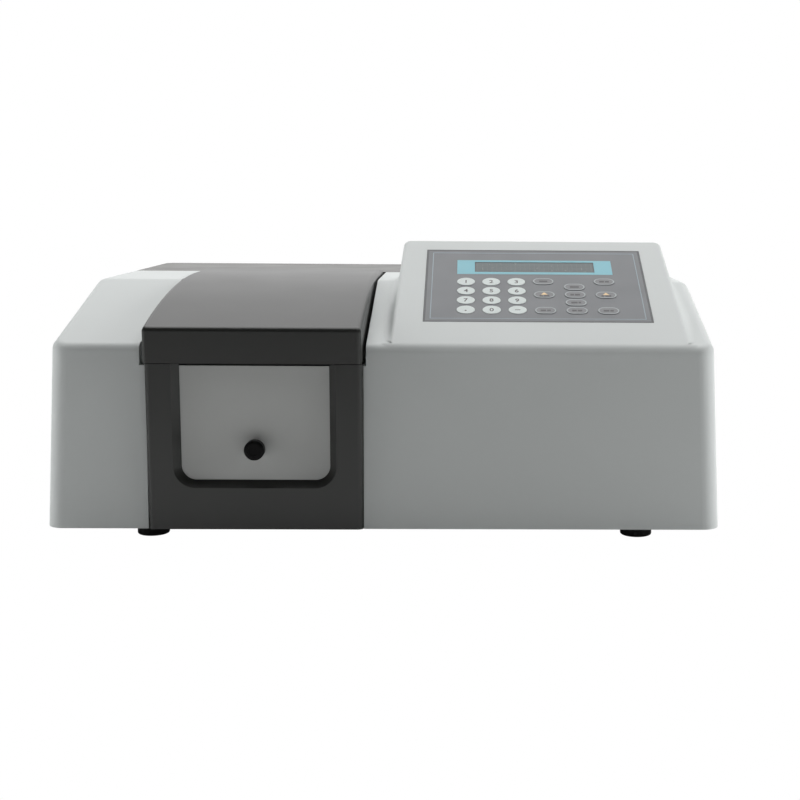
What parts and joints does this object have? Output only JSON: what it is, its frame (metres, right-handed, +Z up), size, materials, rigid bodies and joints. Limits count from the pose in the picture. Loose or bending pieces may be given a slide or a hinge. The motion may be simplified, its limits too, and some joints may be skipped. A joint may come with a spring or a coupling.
{
  "type": "uv-vis spectrophotometer",
  "caption": "Bench spectrophotometer with a hinged sample chamber lid, a pull rod for the cell carriage and a sloping keypad console with a display.",
  "frame": {"origin": "centre of the bounding box's bottom face, on the bench", "axes": "+X to the right seen from the front, along the longest side; +Y to the back; +Z up"},
  "size_m": [0.48, 0.376, 0.2088],
  "materials": {
    "light_shell": "fine satin moulded",
    "grey_shell": "fine satin moulded",
    "dark_shell": "fine satin moulded",
    "front_plate": "smooth painted sheet",
    "black_plastic": "moulded",
    "rubber": "moulded rubber",
    "steel_sheet": "painted sheet",
    "steel": "turned and plated",
    "black_metal": "black anodised",
    "cast_metal": "cast and machined",
    "mirror": "front surface mirror",
    "quartz": "clear quartz",
    "seal_foam": "closed cell foam",
    "circuit_board": "soldered board",
    "overlay_film": "printed film",
    "display": "liquid crystal window",
    "digit_key": "printed film dome",
    "menu_key": "printed film dome"
  },
  "bodies": {
    "housing": {"base_plate": "steel_sheet", "rubber_feet": "rubber", "upper_housing": "light_shell", "rear_hood": "grey_shell", "rear_panel": "steel_sheet", "front_frame": "dark_shell", "front_plate": "front_plate", "sample_chamber": "black_metal", "chamber_windows": "quartz", "lid_seal": "seal_foam", "hinge_pin": "steel", "hinge_brackets": "steel", "monochromator_body": "cast_metal", "concave_mirrors": "mirror", "stepper_motors": "black_metal", "lamp_house": "cast_metal", "tungsten_lamp": "quartz", "deuterium_lamp": "quartz", "detector_box": "cast_metal", "main_board": "circuit_board", "power_supply": "steel_sheet", "fan_frame": "black_plastic", "power_inlet": "black_plastic", "switch_bezel": "black_plastic", "serial_port": "steel", "keypad_overlay": "overlay_film", "keypad_board": "circuit_board", "lcd_module": "display", "cover_screws": "steel"},
    "lid": {"chamber_lid": "dark_shell"},
    "carriage": {"cell_carriage": "black_metal", "pull_rod": "steel", "rod_knob": "black_plastic"},
    "rocker": {"power_rocker": "black_plastic"},
    "fan": {"fan_impeller": "black_plastic"},
    "grating": {"diffraction_grating": "mirror"},
    "wheel": {"filter_wheel": "black_metal"},
    "selector": {"source_mirror": "mirror"},
    "key_0_body": {"key_0": "digit_key"},
    "key_1_body": {"key_1": "digit_key"},
    "key_2_body": {"key_2": "digit_key"},
    "key_3_body": {"key_3": "digit_key"},
    "key_4_body": {"key_4": "digit_key"},
    "key_5_body": {"key_5": "digit_key"},
    "key_6_body": {"key_6": "digit_key"},
    "key_7_body": {"key_7": "digit_key"},
    "key_8_body": {"key_8": "digit_key"},
    "key_9_body": {"key_9": "digit_key"},
    "key_point_body": {"key_point": "digit_key"},
    "key_minus_body": {"key_minus": "digit_key"},
    "menu_key_1_body": {"menu_key_1": "menu_key"},
    "menu_key_2_body": {"menu_key_2": "menu_key"},
    "menu_key_3_body": {"menu_key_3": "menu_key"},
    "menu_key_4_body": {"menu_key_4": "menu_key"},
    "menu_key_5_body": {"menu_key_5": "menu_key"},
    "menu_key_6_body": {"menu_key_6": "menu_key"},
    "menu_key_7_body": {"menu_key_7": "menu_key"},
    "menu_key_8_body": {"menu_key_8": "menu_key"},
    "menu_key_9_body": {"menu_key_9": "menu_key"},
    "menu_key_10_body": {"menu_key_10": "menu_key"}
  },
  "joints": [
    {"name": "lid_hinge", "type": "hinge", "parent": "housing", "child": "lid", "pos_m": [-0.0904, 0.0461, 0.174], "axis": [-1, 0, 0], "range_deg": [0, 85]},
    {"name": "carriage_slide", "type": "slide", "parent": "housing", "child": "carriage", "axis": [0, -1, 0], "range_m": [0, 0.066]},
    {"name": "rocker_tilt", "type": "hinge", "parent": "housing", "child": "rocker", "pos_m": [-0.105, 0.173, 0.06], "axis": [1, 0, 0], "range_deg": [0, 16]},
    {"name": "grating_turn", "type": "hinge", "parent": "housing", "child": "grating", "pos_m": [0.104, -0.066, 0.055], "axis": [0, 0, 1], "range_deg": [-10, 50]},
    {"name": "selector_turn", "type": "hinge", "parent": "housing", "child": "selector", "pos_m": [0.172, -0.083, 0.055], "axis": [0, 0, 1], "range_deg": [0, 90]},
    {"name": "fan_spin", "type": "hinge", "parent": "housing", "child": "fan", "pos_m": [0.13, 0.162, 0.078], "axis": [0, 1, 0], "continuous": true},
    {"name": "wheel_spin", "type": "hinge", "parent": "housing", "child": "wheel", "pos_m": [-0.01, -0.105, 0.085], "axis": [1, 0, 0], "continuous": true},
    {"name": "key_0_press", "type": "slide", "parent": "housing", "child": "key_0_body", "axis": [0, 0.4185, -0.9082], "range_m": [0, 0.0005], "stiffness_N_per_m": 400},
    {"name": "key_1_press", "type": "slide", "parent": "housing", "child": "key_1_body", "axis": [0, 0.4185, -0.9082], "range_m": [0, 0.0005], "stiffness_N_per_m": 400},
    {"name": "key_2_press", "type": "slide", "parent": "housing", "child": "key_2_body", "axis": [0, 0.4185, -0.9082], "range_m": [0, 0.0005], "stiffness_N_per_m": 400},
    {"name": "key_3_press", "type": "slide", "parent": "housing", "child": "key_3_body", "axis": [0, 0.4185, -0.9082], "range_m": [0, 0.0005], "stiffness_N_per_m": 400},
    {"name": "key_4_press", "type": "slide", "parent": "housing", "child": "key_4_body", "axis": [0, 0.4185, -0.9082], "range_m": [0, 0.0005], "stiffness_N_per_m": 400},
    {"name": "key_5_press", "type": "slide", "parent": "housing", "child": "key_5_body", "axis": [0, 0.4185, -0.9082], "range_m": [0, 0.0005], "stiffness_N_per_m": 400},
    {"name": "key_6_press", "type": "slide", "parent": "housing", "child": "key_6_body", "axis": [0, 0.4185, -0.9082], "range_m": [0, 0.0005], "stiffness_N_per_m": 400},
    {"name": "key_7_press", "type": "slide", "parent": "housing", "child": "key_7_body", "axis": [0, 0.4185, -0.9082], "range_m": [0, 0.0005], "stiffness_N_per_m": 400},
    {"name": "key_8_press", "type": "slide", "parent": "housing", "child": "key_8_body", "axis": [0, 0.4185, -0.9082], "range_m": [0, 0.0005], "stiffness_N_per_m": 400},
    {"name": "key_9_press", "type": "slide", "parent": "housing", "child": "key_9_body", "axis": [0, 0.4185, -0.9082], "range_m": [0, 0.0005], "stiffness_N_per_m": 400},
    {"name": "key_point_press", "type": "slide", "parent": "housing", "child": "key_point_body", "axis": [0, 0.4185, -0.9082], "range_m": [0, 0.0005], "stiffness_N_per_m": 400},
    {"name": "key_minus_press", "type": "slide", "parent": "housing", "child": "key_minus_body", "axis": [0, 0.4185, -0.9082], "range_m": [0, 0.0005], "stiffness_N_per_m": 400},
    {"name": "menu_key_1_press", "type": "slide", "parent": "housing", "child": "menu_key_1_body", "axis": [0, 0.4185, -0.9082], "range_m": [0, 0.0005], "stiffness_N_per_m": 400},
    {"name": "menu_key_2_press", "type": "slide", "parent": "housing", "child": "menu_key_2_body", "axis": [0, 0.4185, -0.9082], "range_m": [0, 0.0005], "stiffness_N_per_m": 400},
    {"name": "menu_key_3_press", "type": "slide", "parent": "housing", "child": "menu_key_3_body", "axis": [0, 0.4185, -0.9082], "range_m": [0, 0.0005], "stiffness_N_per_m": 400},
    {"name": "menu_key_4_press", "type": "slide", "parent": "housing", "child": "menu_key_4_body", "axis": [0, 0.4185, -0.9082], "range_m": [0, 0.0005], "stiffness_N_per_m": 400},
    {"name": "menu_key_5_press", "type": "slide", "parent": "housing", "child": "menu_key_5_body", "axis": [0, 0.4185, -0.9082], "range_m": [0, 0.0005], "stiffness_N_per_m": 400},
    {"name": "menu_key_6_press", "type": "slide", "parent": "housing", "child": "menu_key_6_body", "axis": [0, 0.4185, -0.9082], "range_m": [0, 0.0005], "stiffness_N_per_m": 400},
    {"name": "menu_key_7_press", "type": "slide", "parent": "housing", "child": "menu_key_7_body", "axis": [0, 0.4185, -0.9082], "range_m": [0, 0.0005], "stiffness_N_per_m": 400},
    {"name": "menu_key_8_press", "type": "slide", "parent": "housing", "child": "menu_key_8_body", "axis": [0, 0.4185, -0.9082], "range_m": [0, 0.0005], "stiffness_N_per_m": 400},
    {"name": "menu_key_9_press", "type": "slide", "parent": "housing", "child": "menu_key_9_body", "axis": [0, 0.4185, -0.9082], "range_m": [0, 0.0005], "stiffness_N_per_m": 400},
    {"name": "menu_key_10_press", "type": "slide", "parent": "housing", "child": "menu_key_10_body", "axis": [0, 0.4185, -0.9082], "range_m": [0, 0.0005], "stiffness_N_per_m": 400}
  ]
}
